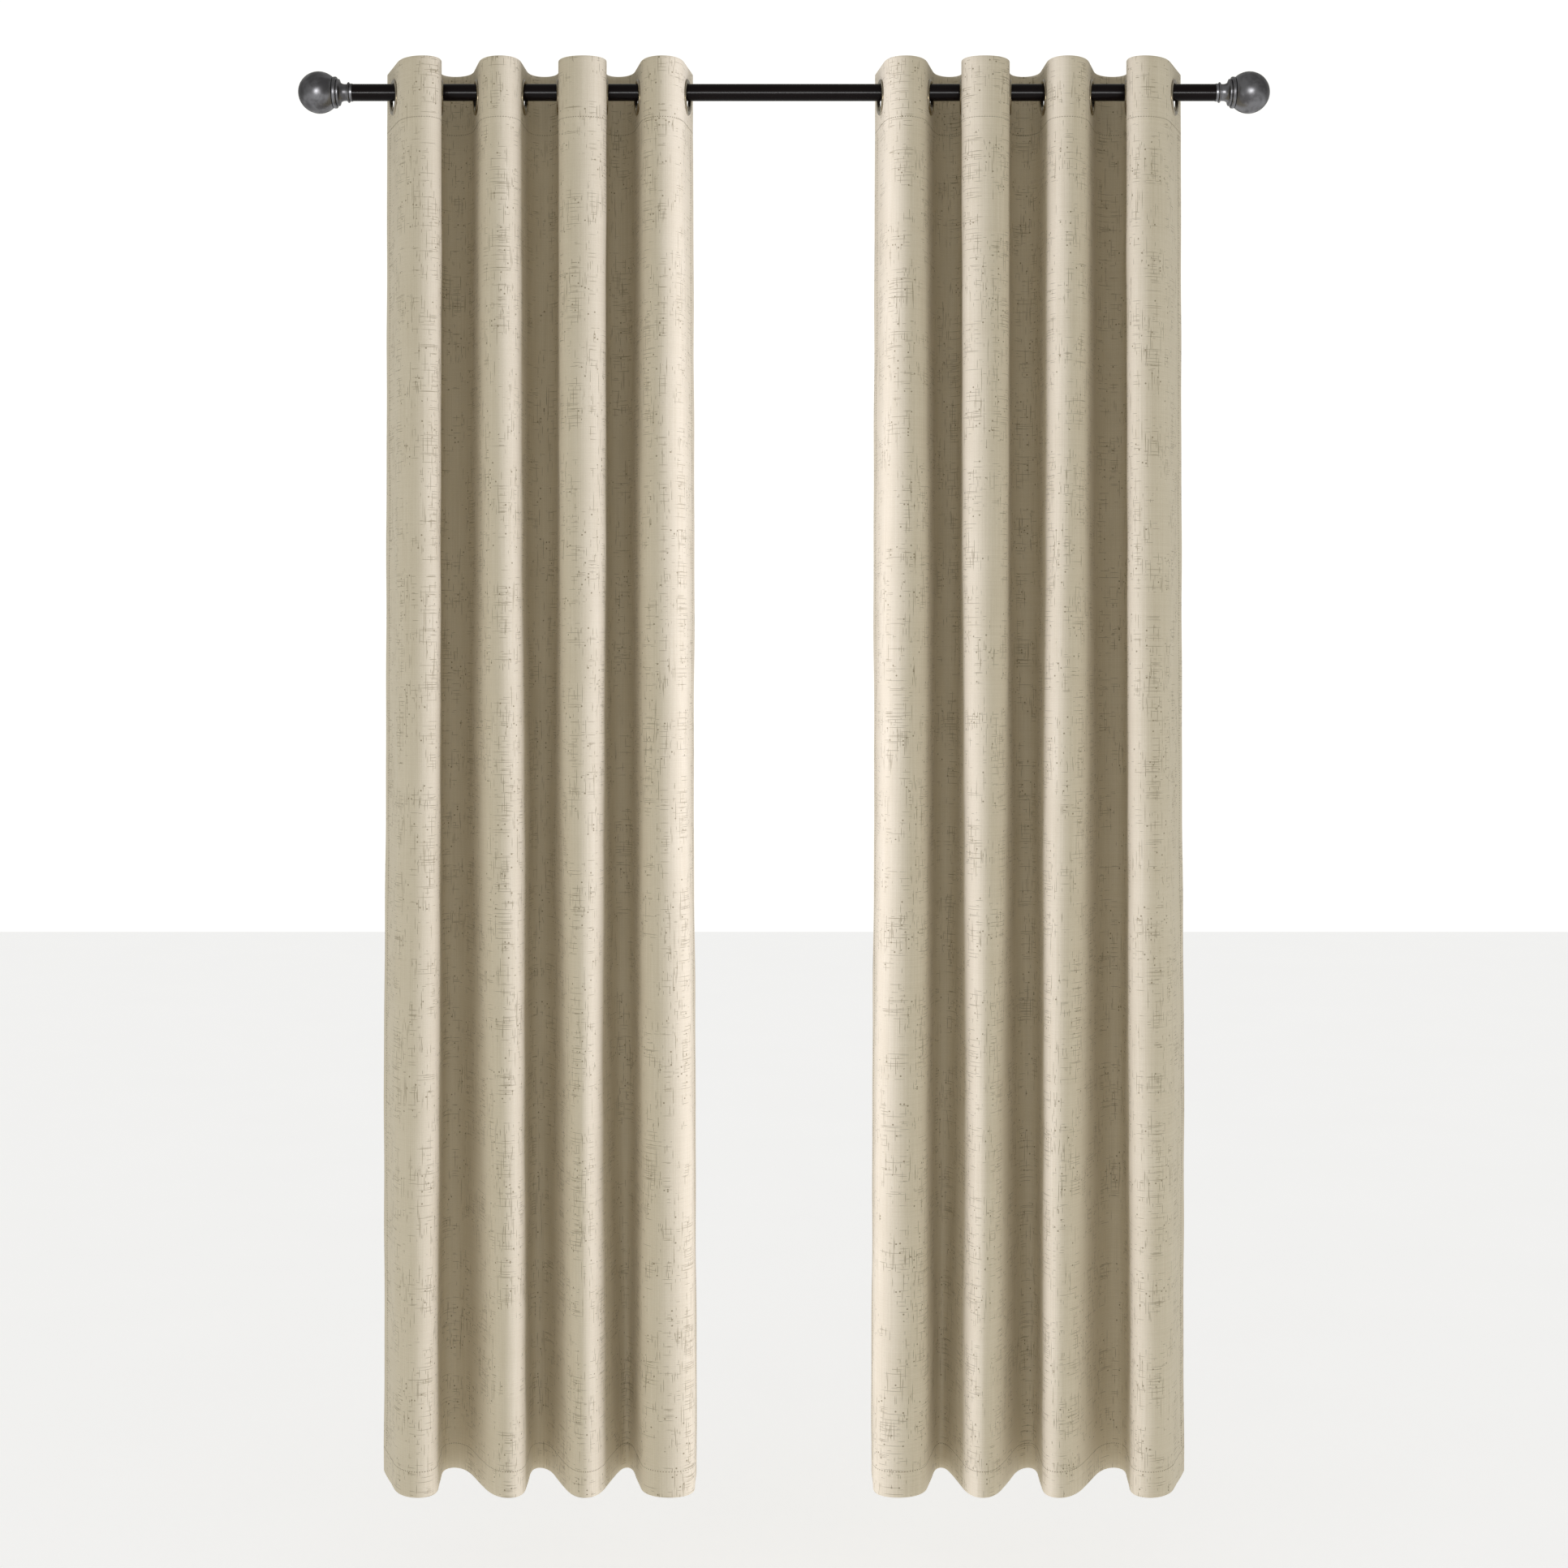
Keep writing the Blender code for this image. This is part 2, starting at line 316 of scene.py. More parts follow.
def through_knots(knots: np.ndarray, values: np.ndarray, at: np.ndarray) -> np.ndarray:
    """Smooth curves through their knots.

    Args:
        knots: Increasing places of the knots, K of them.
        values: C curves' values at the knots, C by K.
        at: N places to read the curves at.

    Returns:
        The values, N by C.
    """
    slopes = np.gradient(values, knots, axis=1)
    spot = np.clip(at, knots[0], knots[-1])
    left = np.clip(np.searchsorted(knots, spot, side="right") - 1, 0, len(knots) - 2)
    width = knots[left + 1] - knots[left]
    t = (spot - knots[left]) / width
    pull = (
        2 * t**3 - 3 * t**2 + 1,
        (t**3 - 2 * t**2 + t) * width,
        3 * t**2 - 2 * t**3,
        (t**3 - t**2) * width,
    )
    ends = (values[:, left], slopes[:, left], values[:, left + 1], slopes[:, left + 1])
    return sum(p * e for p, e in zip(pull, ends)).T


# ---------------------------------------------------------------- finishes


@dataclass(frozen=True)
class SlubLinen:
    """Linen-look polyester: a plain weave of uneven yarn, dyed a warm beige.

    The uneven yarn gives a faintly streaked ground, with here and there a thicker, darker length
    of yarn or a knot. The dull fibres scatter light evenly, with a soft sheen at grazing angles.
    """

    name: str = "slub_linen_weave"
    light_yarn: str = "#E6DCC5"
    dark_yarn: str = "#CFC3A8"
    slub_yarn: str = "#7B6E50"
    yarn_pitch: float = 1.0  # mm; the real 0.45 mm is too fine to show
    yarn_run: float = 6.0  # mm over which a yarn keeps its thickness
    slub_width: float = 1.3  # mm across each slub's cell; the slub is about half of it
    slub_lengths: tuple[float, ...] = (12.0, 28.0, 62.0)  # mm along the cells of each kind
    slub_shares: tuple[float, ...] = (0.045, 0.10, 0.12)  # of each kind's cells that hold one
    slub_strength: float = 0.70
    cluster: float = 60.0  # mm across the patches that slubs gather in
    knot_pitch: float = 5.0  # mm
    knot_share: float = 0.05

    def material(self) -> bpy.types.Material:
        """Build the material from the cloth's flat coordinates, in metres."""
        material, shader = principled(
            self.name,
            Roughness=0.92,
            Specular_IOR_Level=0.2,
            Sheen_Weight=0.12,
            Sheen_Roughness=0.45,
        )
        tree = material.node_tree
        flat = add_node(tree, "ShaderNodeUVMap", uv_map="flat").outputs["UV"]
        # Across and along sizes in mm of each pattern's grain: warp and weft yarns, long streaks
        # of a lighter or darker yarn, and cloudy dyeing
        grains = {
            "warp": (self.yarn_pitch, self.yarn_run),
            "weft": (self.yarn_run, self.yarn_pitch),
            "warp_streak": (1.3 * self.yarn_pitch, 160.0),
            "weft_streak": (160.0, 1.3 * self.yarn_pitch),
            "cloud": (70.0, 90.0),
            "cluster": (self.cluster, self.cluster),
        }
        noise = {}
        for number, (grain, (across, along)) in enumerate(grains.items()):
            scaled = add_node(
                tree,
                "ShaderNodeMapping",
                {
                    "Vector": flat,
                    "Location": (3.7 * number, 5.3 * number, 0.0),
                    "Scale": (1 / (across * MM), 1 / (along * MM), 1.0),
                },
            )
            noise[grain] = add_node(
                tree,
                "ShaderNodeTexNoise",
                {"Vector": scaled.outputs[0], "Scale": 1.0, "Detail": 2.0, "Roughness": 0.55},
                noise_dimensions="2D",
            ).outputs["Fac"]
        shares = {
            "warp": 0.30,
            "weft": 0.30,
            "warp_streak": 0.75,
            "weft_streak": 0.55,
            "cloud": 0.35,
        }
        # The ground's tone is centred on the middle of its two colours
        tone = 0.5 - sum(shares.values()) / 2
        for grain, share in shares.items():
            tone = add_node(
                tree,
                "ShaderNodeMath",
                {0: noise[grain], 1: share, 2: tone},
                operation="MULTIPLY_ADD",
            ).outputs[0]
        ground = add_node(
            tree,
            "ShaderNodeMix",
            {"Factor": tone, 6: linear(self.dark_yarn), 7: linear(self.light_yarn)},
            data_type="RGBA",
            clamp_factor=True,
        ).outputs[2]
        gather = add_node(
            tree,
            "ShaderNodeMapRange",
            {
                "Value": noise["cluster"],
                "From Min": 0.35,
                "From Max": 0.65,
                "To Min": -0.1,
                "To Max": 1.25,
            },
        ).outputs[0]
        marks = []
        kinds = list(zip(self.slub_lengths, self.slub_shares))
        cells = [(self.slub_width, length, 1.0, share) for length, share in kinds]
        cells += [(length, self.slub_width, 0.9, share) for length, share in kinds]
        cells.append((self.knot_pitch, self.knot_pitch, 1.1, self.knot_share))
        for number, (across, along, weight, share) in enumerate(cells):
            scaled = add_node(
                tree,
                "ShaderNodeMapping",
                {
                    "Vector": flat,
                    "Location": (11.3 * number + 4.0, 7.9 * number + 2.0, 0.0),
                    "Scale": (1 / (across * MM), 1 / (along * MM), 1.0),
                },
            )
            cell = add_node(
                tree,
                "ShaderNodeTexVoronoi",
                {"Vector": scaled.outputs[0], "Scale": 1.0, "Randomness": 1.0},
                voronoi_dimensions="2D",
                feature="F1",
            )
            near = add_node(
                tree,
                "ShaderNodeMapRange",
                {"Value": cell.outputs["Distance"], "From Min": 0.32, "From Max": 0.16},
                interpolation_type="SMOOTHSTEP",
            )
            pick = add_node(
                tree, "ShaderNodeSeparateColor", {"Color": cell.outputs["Color"]}
            ).outputs["Red"]
            limit = add_node(
                tree, "ShaderNodeMath", {0: gather, 1: share}, operation="MULTIPLY"
            ).outputs[0]
            kept = add_node(
                tree, "ShaderNodeMath", {0: pick, 1: limit}, operation="LESS_THAN"
            ).outputs[0]
            shown = add_node(
                tree, "ShaderNodeMath", {0: near.outputs[0], 1: kept}, operation="MULTIPLY"
            ).outputs[0]
            marks.append(
                add_node(
                    tree, "ShaderNodeMath", {0: shown, 1: weight}, operation="MULTIPLY"
                ).outputs[0]
            )
        slub = marks[0]
        for mark in marks[1:]:
            slub = add_node(
                tree, "ShaderNodeMath", {0: slub, 1: mark}, operation="MAXIMUM"
            ).outputs[0]
        strength = add_node(
            tree,
            "ShaderNodeMath",
            {0: slub, 1: self.slub_strength},
            operation="MULTIPLY",
            use_clamp=True,
        ).outputs[0]
        colour = add_node(
            tree,
            "ShaderNodeMix",
            {"Factor": strength, 6: ground, 7: linear(self.slub_yarn)},
            data_type="RGBA",
        ).outputs[2]
        tree.links.new(colour, shader.inputs["Base Color"])
        weave = add_node(
            tree, "ShaderNodeMath", {0: noise["warp"], 1: noise["weft"]}, operation="ADD"
        ).outputs[0]
        relief = add_node(
            tree, "ShaderNodeMath", {0: slub, 1: 0.8, 2: weave}, operation="MULTIPLY_ADD"
        ).outputs[0]
        bump = add_node(
            tree, "ShaderNodeBump", {"Height": relief, "Strength": 0.5, "Distance": 0.25 * MM}
        )
        tree.links.new(bump.outputs["Normal"], shader.inputs["Normal"])
        return material


@dataclass(frozen=True)
class SewingThread:
    """Spun polyester thread, dull, with a twisted surface. Its colour is the thread's own, darkened
    by painted shade that stands for the shadow in the needle holes and in the groove each stitch
    sits in.
    """

    name: str = "spun_polyester_thread"
    # Both tones carry painted shade of the needle holes and stitch grooves on top of the thread's
    # own colour
    light: str = "#857A60"
    dark: str = "#756B52"

    def material(self) -> bpy.types.Material:
        """Build the material."""
        material, shader = principled(self.name, Roughness=0.8, Specular_IOR_Level=0.25)
        tree = material.node_tree
        where = add_node(tree, "ShaderNodeTexCoord").outputs["Object"]
        fuzz = add_node(
            tree, "ShaderNodeTexNoise", {"Vector": where, "Scale": 900.0, "Detail": 1.0}
        ).outputs["Fac"]
        mottle(shader, fuzz, (self.dark, self.light))
        return material


@dataclass(frozen=True)
class BlackEnamel:
    """Baked black enamel on drawn steel tube: near black, satin, with a very fine orange peel."""

    name: str = "black_baked_enamel"
    colour: str = "#050303"
    worn: str = "#090606"
    peel: float = 2.5  # mm across the orange peel's cells

    def material(self) -> bpy.types.Material:
        """Build the material."""
        material, shader = principled(self.name, Specular_IOR_Level=0.08, IOR=1.5)
        tree = material.node_tree
        where = add_node(tree, "ShaderNodeTexCoord").outputs["Object"]
        # Handling leaves long, faint duller stretches along the tube
        drawn = add_node(
            tree, "ShaderNodeMapping", {"Vector": where, "Scale": (6.0, 60.0, 60.0)}
        ).outputs[0]
        dull = add_node(
            tree, "ShaderNodeTexNoise", {"Vector": drawn, "Scale": 1.0, "Detail": 3.0}
        ).outputs["Fac"]
        peel = add_node(
            tree, "ShaderNodeTexNoise", {"Vector": where, "Scale": 1 / (self.peel * MM)}
        ).outputs["Fac"]
        rough = {"From Min": 0.3, "From Max": 0.7, "To Min": 0.19, "To Max": 0.25}
        mottle(shader, dull, (self.colour, self.worn), rough, (peel, 0.05))
        return material


@dataclass(frozen=True)
class AntiqueGunmetal:
    """Dark nickel plate, antiqued: dark patina rubbed back by hand, so it is cloudy and soft."""

    name: str = "antiqued_gunmetal_plating"
    rubbed: str = "#808083"
    patina: str = "#5A595B"
    cloud: float = 21.0  # mm across the rubbed patches

    def material(self) -> bpy.types.Material:
        """Build the material."""
        material, shader = principled(self.name, Metallic=1.0)
        tree = material.node_tree
        where = add_node(tree, "ShaderNodeTexCoord").outputs["Object"]
        cloud = add_node(
            tree,
            "ShaderNodeTexNoise",
            {
                "Vector": where,
                "Scale": 1 / (self.cloud * MM),
                "Detail": 3.0,
                "Roughness": 0.5,
                "Distortion": 0.4,
            },
        ).outputs["Fac"]
        patch = add_node(
            tree,
            "ShaderNodeMapRange",
            {"Value": cloud, "From Min": 0.36, "From Max": 0.66},
            interpolation_type="SMOOTHSTEP",
        ).outputs[0]
        fine = add_node(
            tree, "ShaderNodeTexNoise", {"Vector": where, "Scale": 900.0, "Detail": 2.0}
        ).outputs["Fac"]
        rough = {"To Min": 0.36, "To Max": 0.30}
        mottle(shader, patch, (self.patina, self.rubbed), rough, (fine, 0.12))
        return material


@dataclass(frozen=True)
class PlatedMetal:
    """Bright plating on pressed or turned steel, brushed or left as it came off the tool."""

    name: str
    bright: str
    dull: str
    roughness: tuple[float, float]
    grain: float  # mm across the plating's mottle

    def material(self) -> bpy.types.Material:
        """Build the material."""
        material, shader = principled(self.name, Metallic=1.0)
        tree = material.node_tree
        where = add_node(tree, "ShaderNodeTexCoord").outputs["Object"]
        grain = add_node(
            tree,
            "ShaderNodeTexNoise",
            {"Vector": where, "Scale": 1 / (self.grain * MM), "Detail": 3.0},
        ).outputs["Fac"]
        smooth, rough = self.roughness
        spread = {"To Min": rough, "To Max": smooth}
        mottle(shader, grain, (self.dull, self.bright), spread, (grain, 0.08))
        return material


# The nickel's warm taupe is a painted reflection of the beige cloth round the rings, on top of
# satin nickel's own grey; zinc is a cooler, brighter grey
NICKEL_PAINTED_CLOTH_REFLECTION = PlatedMetal("brushed_nickel_plating", "#BDB39F", "#8F8673", (0.20, 0.32), 3.0)
ZINC_PLATE = PlatedMetal("zinc_plating", "#DADCDD", "#B9BCBE", (0.25, 0.4), 4.0)


@dataclass(frozen=True)
class Finishes:
    """The materials of every piece, each made once."""

    linen: bpy.types.Material = field(default_factory=lambda: SlubLinen().material())
    thread: bpy.types.Material = field(default_factory=lambda: SewingThread().material())
    enamel: bpy.types.Material = field(default_factory=lambda: BlackEnamel().material())
    gunmetal: bpy.types.Material = field(default_factory=lambda: AntiqueGunmetal().material())
    nickel: bpy.types.Material = field(default_factory=NICKEL_PAINTED_CLOTH_REFLECTION.material)
    zinc: bpy.types.Material = field(default_factory=ZINC_PLATE.material)


# ---------------------------------------------------------------- rod and finials


@dataclass
class Rod:
    """The enamelled tube, with its end edges eased."""

    steps: int = 128
    easing: float = 0.35 * MM
    wall: float = 1.2 * MM

    def build(self, finishes: Finishes) -> bpy.types.Object:
        """Build and dress the tube.

        Args:
            finishes: The materials.

        Returns:
            The tube.
        """
        low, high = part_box("rod_tube")
        outer, inner = high.z, high.z - self.wall
        ease = (self.easing, self.easing)
        profile = [(low.x, inner)]
        profile += arc((low.x + self.easing, outer - self.easing), ease, 180, 90, 4)
        profile += arc((high.x - self.easing, outer - self.easing), ease, 90, 0, 4)
        profile += [(high.x, inner)]
        # Rings along the tube keep its long faces well shaped
        rings = 24
        span = np.linspace(low.x + self.easing, high.x - self.easing, rings + 1)[1:-1]
        top = profile[1:6] + [(float(x), outer) for x in span] + profile[6:-1]
        shape = lathe([profile[0], *top, profile[-1]], self.steps, True, Matrix())
        tube = add_piece("curtain_rod", smooth_mesh("curtain_rod", shape, 40), finishes.enamel)
        stand_in(tube, "rod", "rod_tube")
        return tube


@dataclass
class Finial:
    """A ball on a turned collar. Sizes are out from the rod's end face."""

    side: Side
    steps: int = 112
    hole: float = 4.3 * MM
    groove: float = 0.5 * MM

    def collar_profile(self) -> list[tuple[float, float]]:
        """The collar's outline from the rod outwards, back along its hole."""
        start, end, hole, groove = 0.3 * MM, 29.6 * MM, self.hole, self.groove
        band, sharp, neck = 13.3 * MM, 15.4 * MM, 12.5 * MM
        second, largest = 20.0 * MM, 23.5 * MM
        half = 0.9 * MM
        outline = [(start, hole), (start, band - 0.5 * MM)]
        outline += arc((start + 0.5 * MM, band - 0.5 * MM), (0.5 * MM, 0.5 * MM), 180, 90, 4)
        outline += arc((4.1 * MM, band - 0.4 * MM), (0.4 * MM, 0.4 * MM), 90, 20, 3)
        # Small ring with a sharp edge, between two grooves
        outline += [(4.7 * MM, band - groove)]
        outline += arc((6.2 * MM, band), (1.35 * MM, sharp - band), 170, 100, 4)
        outline += arc((6.2 * MM, band), (1.6 * MM, sharp - band), 80, 10, 4)
        outline += [(8.1 * MM, neck + 0.15 * MM)]
        # Hollow neck, flaring to the ball
        outline += [(9.6 * MM, neck), (11.0 * MM, neck)]
        outline += arc((12.2 * MM, neck + 7.0 * MM), (8.0 * MM, 7.0 * MM), 270, 352, 12)[1:]
        # Second ring, a groove, and the ring that the ball sits in
        outline += arc((20.9 * MM, second - half), (half, half), 180, 90, 5)[1:]
        outline += arc((22.6 * MM, second - half), (half, half), 90, 25, 4)
        outline += [(23.5 * MM, second - 1.1 * MM), (23.9 * MM, second - 1.1 * MM)]
        outline += arc((25.4 * MM, largest - 1.5 * MM), (1.5 * MM, 1.5 * MM), 175, 90, 6)
        outline += arc((27.9 * MM, largest - 1.4 * MM), (1.4 * MM, 1.4 * MM), 90, 10, 6)
        outline += [(end, largest - 1.9 * MM), (end, hole)]
        return outline

    def ball_profile(self) -> list[tuple[float, float]]:
        """The ball's outline from the bottom of its hole round to its far end."""
        low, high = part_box(f"{self.side.label}_finial_ball")
        radius = (high.z - low.z) / 2
        ends = sorted((abs(low.x) - self.rod_end(), abs(high.x) - self.rod_end()))
        seat, far = ends
        centre = far - radius
        angle = math.degrees(math.acos((centre - seat) / radius))
        outline = [(seat + 16 * MM, 0.0), (seat + 16 * MM, self.hole), (seat, self.hole)]
        outline += arc((centre, 0.0), (radius, radius), 180 - angle, 0, 44)
        outline[-1] = (far, 0.0)
        return outline

    def rod_end(self) -> float:
        """How far the rod's end face is from the middle."""
        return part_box("rod_tube")[1].x

    def build(self, finishes: Finishes) -> list[bpy.types.Object]:
        """Build and dress the collar and the ball.

        Args:
            finishes: The materials.

        Returns:
            The pieces made.
        """
        turn = Matrix() if self.side is Side.RIGHT else Matrix.Rotation(math.pi, 4, "Z")
        place = Matrix.Translation((self.side.value * self.rod_end(), 0, 0)) @ turn
        made = []
        outlines = (
            ("collar", self.collar_profile(), True, 32),
            ("ball", self.ball_profile(), False, 40),
        )
        for part, outline, closed, sharp in outlines:
            name = f"{self.side.label}_{part}"
            mesh = smooth_mesh(name, lathe(outline, self.steps, closed, place), sharp)
            piece = add_piece(name, mesh, finishes.gunmetal)
            stand_in(
                piece, f"{self.side.label}_finial", f"{self.side.label}_finial_{part}"
            )
            made.append(piece)
        return made


# ---------------------------------------------------------------- grommets


@dataclass
class Grommet:
    """A pressed ring in two halves: a domed front with its barrel, and a flatter back."""

    side: Side
    number: int
    steps: int = 72
    barrel_wall: float = 0.9 * MM
    seat: float = 0.62 * MM  # the flange's flat side, from the middle of the cloth
    frame_seat: float = 0.9 * MM  # the same on the frame's plainer ring

    @property
    def faces(self) -> int:
        """Which way along X the front ring faces."""
        outwards = self.side.value
        return outwards if self.number % 2 else -outwards

    @property
    def body(self) -> str:
        """The frame's body that carries this grommet."""
        label = self.side.label
        if self.number == 1:
            return f"{label}_panel"
        if self.number == GROMMETS:
            return f"{label}_leading_grommet"
        return f"{label}_grommet_{self.number}"

    def node(self, half: RingHalf) -> str:
        """The frame's node for one half."""
        return f"{self.side.label}_grommet_{self.number}_{half.value}"

    def points(self) -> np.ndarray:
        """The corners of the frame's front ring, each once."""
        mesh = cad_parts[self.node(RingHalf.FRONT)].data
        return np.unique(np.round([v.co for v in mesh.vertices], 6), axis=0)

    def place(self) -> tuple[Vector, Vector]:
        """Where the ring sits.

        Returns:
            Its centre in the middle of the cloth, and the way that its front faces.
        """
        corners = self.points()
        middle = corners.mean(0)
        _, axes = np.linalg.eigh(np.cov((corners - middle).T))
        axis = axes[:, 0] * np.sign(axes[0, 0]) * self.faces
        out = corners - middle
        away = np.linalg.norm(out - np.outer(out @ axis, axis), axis=1)
        rim = corners[away > 0.98 * away.max()].mean(0)
        return Vector(rim - axis * self.frame_seat), Vector(axis)

    def sizes(self) -> tuple[float, float, float]:
        """Radii of the bore, the front flange and the back flange."""
        low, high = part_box(self.node(RingHalf.FRONT))
        back_low, back_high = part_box(self.node(RingHalf.BACK))
        rim, back_rim = (high.z - low.z) / 2, (back_high.z - back_low.z) / 2
        return rim - 6.7 * MM, rim, back_rim

    def front_profile(self) -> list[tuple[float, float]]:
        """The barrel, and a flange that rolls over from it."""
        bore, rim, _ = self.sizes()
        seat, barrel = self.seat, bore + self.barrel_wall
        middle, half = (bore + rim) / 2, (rim - bore) / 2
        profile = [(-2.2 * MM, bore + 0.15 * MM), (-2.2 * MM, barrel), (seat, barrel)]
        profile += [(seat, rim - 0.3 * MM)]
        profile += arc((seat + 0.35 * MM, rim - 0.35 * MM), (0.35 * MM, 0.35 * MM), -75, 15, 3)
        profile += arc((seat + 0.4 * MM, middle), (2.3 * MM, half), 82, -72, 14)
        profile += [(0.9 * MM, bore), (-1.6 * MM, bore)]
        return profile

    def back_profile(self) -> list[tuple[float, float]]:
        """A flatter ring, snapped over the barrel."""
        bore, _, rim = self.sizes()
        hole = bore + self.barrel_wall + 0.2 * MM
        middle, half = (hole + rim) / 2, (rim - hole) / 2
        profile = [(-self.seat, hole + 0.1 * MM), (-self.seat, rim - 0.2 * MM)]
        profile += arc((-self.seat - 0.3 * MM, middle), (-1.7 * MM, half), 86, -86, 12)
        return profile

    def build(self, finishes: Finishes) -> list[bpy.types.Object]:
        """Build and dress both halves.

        Args:
            finishes: The materials.

        Returns:
            The pieces made.
        """
        centre, faces = self.place()
        turn = faces.to_track_quat("X", "Z").to_matrix().to_4x4()
        made = []
        for half, profile in (
            (RingHalf.FRONT, self.front_profile()),
            (RingHalf.BACK, self.back_profile()),
        ):
            name = f"{self.side.label}_ring_{self.number}_{half.value}"
            shape = lathe(profile, self.steps, True, Matrix.Translation(centre) @ turn)
            piece = add_piece(name, smooth_mesh(name, shape, 38), finishes.nickel)
            stand_in(piece, self.body, self.node(half))
            made.append(piece)
        return made


# ---------------------------------------------------------------- cloth


@dataclass
class CurtainPanel:
    """One panel of cloth, hung in deep folds through its grommets.

    Everything is worked out for the left panel and flipped for the right one. A place on the
    cloth is given flat: how far it is from the outer side edge, and its height. Legs are the flat
    stretches through the grommets; between two legs there is one round fold.
    """

    side: Side
    grommets: list[Grommet]

    # Folds in plan: how far they reach before and behind the rod's axis, how far the legs are
    # straight, how far the side edges reach, and how blunt the crests are
    front_reach: float = 68 * MM
    back_reach: float = 63 * MM
    leg_straight: float = 28.5 * MM
    edge_reach: float = 50 * MM
    bluntness: float = 1.6

    # How the legs wander on the way down: shares of the drop, and at each the sideways drift in
    # mm of legs 1 to 8 and the change of their lean
    levels: tuple[float, ...] = (0.0, 0.3, 0.6, 0.8, 1.0)
    drifts: tuple[tuple[float, ...], ...] = (
        (0.0, -1.5, -4.0, -5.0, -6.0),
        (0.0, 0.5, -0.5, -1.5, -1.0),
        (0.0, 0.0, 1.5, 2.0, 3.0),
        (0.0, 2.0, 4.0, 4.5, 6.0),
        (0.0, 0.0, 1.0, 1.0, 2.0),
        (0.0, 0.5, 1.0, 3.0, 6.0),
        (0.0, -0.5, 0.0, 0.5, 1.0),
        (0.0, 3.0, 7.0, 10.0, 12.0),
    )
    hem_leans: tuple[float, ...] = (-0.35, -0.06, -0.45, -0.02, -0.38, 0.2, -0.2, 0.0)

    # Cloth and sewing
    thickness: float = 0.5 * MM
    layer: float = 0.30 * MM  # from the middle of two layers to the middle of each
    header_depth: float = 90 * MM
    hem_depth: float = 38 * MM
    side_depth: float = 24 * MM
    turn_under: float = 3 * MM  # cloth past the stitches of a turned edge
    hole_radius: float = 22.4 * MM
    stitch_pitch: float = 3.8 * MM
    stitch_size: tuple[float, float, float] = (1.9 * MM, 1.15 * MM, 0.5 * MM)

    # Mesh
    leg_columns: int = 12
    fold_columns: int = 28
    edge_columns: int = 4

    def __post_init__(self) -> None:
        """Read where the grommets clamp the cloth, and lay out the flat cloth from that."""
        low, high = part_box(f"{self.side.label}_curtain")
        self.bottom, self.top = low.z, high.z
        self.leg_x, self.leg_lean = np.zeros(GROMMETS), np.zeros(GROMMETS)
        for n, grommet in enumerate(self.grommets):
            centre, faces = grommet.place()
            self.leg_x[n] = self.side.flip * centre.x
            self.leg_lean[n] = -self.side.flip * faces.y / faces.x
            self.ring_height = centre.z
        self.marks = np.zeros(2 * GROMMETS + 2)
        lengths = [self.segment_length(s) for s in range(2 * GROMMETS + 1)]
        self.marks[1:] = np.cumsum(lengths)

    @property
    def width(self) -> float:
        """The finished panel's width, laid flat."""
        return float(self.marks[-1])

    # Plan of the folds

    def legs_at(self, height: np.ndarray) -> tuple[np.ndarray, np.ndarray]:
        """Where the legs are at some heights.

        Args:
            height: N heights.

        Returns:
            Each leg's place along the rod and its lean, both N by 8.
        """
        drop = np.clip((self.ring_height - height) / (self.ring_height - self.bottom), 0, 1)
        knots = np.array(self.levels)
        drift = through_knots(knots, np.array(self.drifts) * MM, drop)
        ease = (drop * drop * (3 - 2 * drop))[:, None]
        lean = self.leg_lean + (np.array(self.hem_leans) - self.leg_lean) * ease
        phase = np.arange(GROMMETS)[None, :] * 2.4
        sway = np.sin(5.1 * height[:, None] + phase) + 0.6 * np.sin(9.7 * height[:, None] - phase)
        held = np.minimum(1, 2.5 * drop)[:, None]
        return self.leg_x + drift + 0.9 * MM * sway * held, lean

    def fold_curve(
        self, number: int, height: np.ndarray, share: np.ndarray
    ) -> np.ndarray:
        """Points on one fold.

        The fold is a weighted cubic that leaves and meets its legs in their own directions.

        Args:
            number: The fold, from 0 at the outer side; even ones are front folds.
            height: N heights.
            share: N shares of the fold's length.

        Returns:
            N points in plan.
        """
        x, lean = self.legs_at(height)
        reach = self.back_reach if number % 2 else -self.front_reach
        straight = math.copysign(self.leg_straight, reach)
        handle = (reach - straight) * (1 + 3 * self.bluntness) / (3 * self.bluntness)
        corners = []
        for leg, depths in ((number, (straight, straight + handle)),
                            (number + 1, (straight + handle, straight))):
            for depth in depths:
                along = x[:, leg] + lean[:, leg] * depth
                corners.append(np.stack([along, np.full_like(along, depth)], axis=1))
        pull = np.array([1.0, 3 * self.bluntness, 3 * self.bluntness, 1.0])

        def at(t: np.ndarray) -> np.ndarray:
            """The weighted cubic at N by M values of t."""
            shares = np.stack([(1 - t) ** 3, (1 - t) ** 2 * t, (1 - t) * t**2, t**3], axis=-1)
            shares = shares * pull
            total = shares.sum(-1, keepdims=True)
            return np.einsum("nmk,knc->nmc", shares / total, np.array(corners))

        grid = np.linspace(0, 1, 65)
        coarse = at(np.tile(grid, (len(height), 1)))
        steps = np.linalg.norm(np.diff(coarse, axis=1), axis=2)
        run = np.concatenate([np.zeros((len(height), 1)), np.cumsum(steps, axis=1)], axis=1)
        run /= run[:, -1:]
        found = np.clip((run < share[:, None]).sum(1) - 1, 0, len(grid) - 2)
        rows = np.arange(len(height))
        low, high = run[rows, found], run[rows, found + 1]
        t = grid[found] + (share - low) / (high - low) * (grid[1] - grid[0])
        return at(t[:, None])[:, 0]

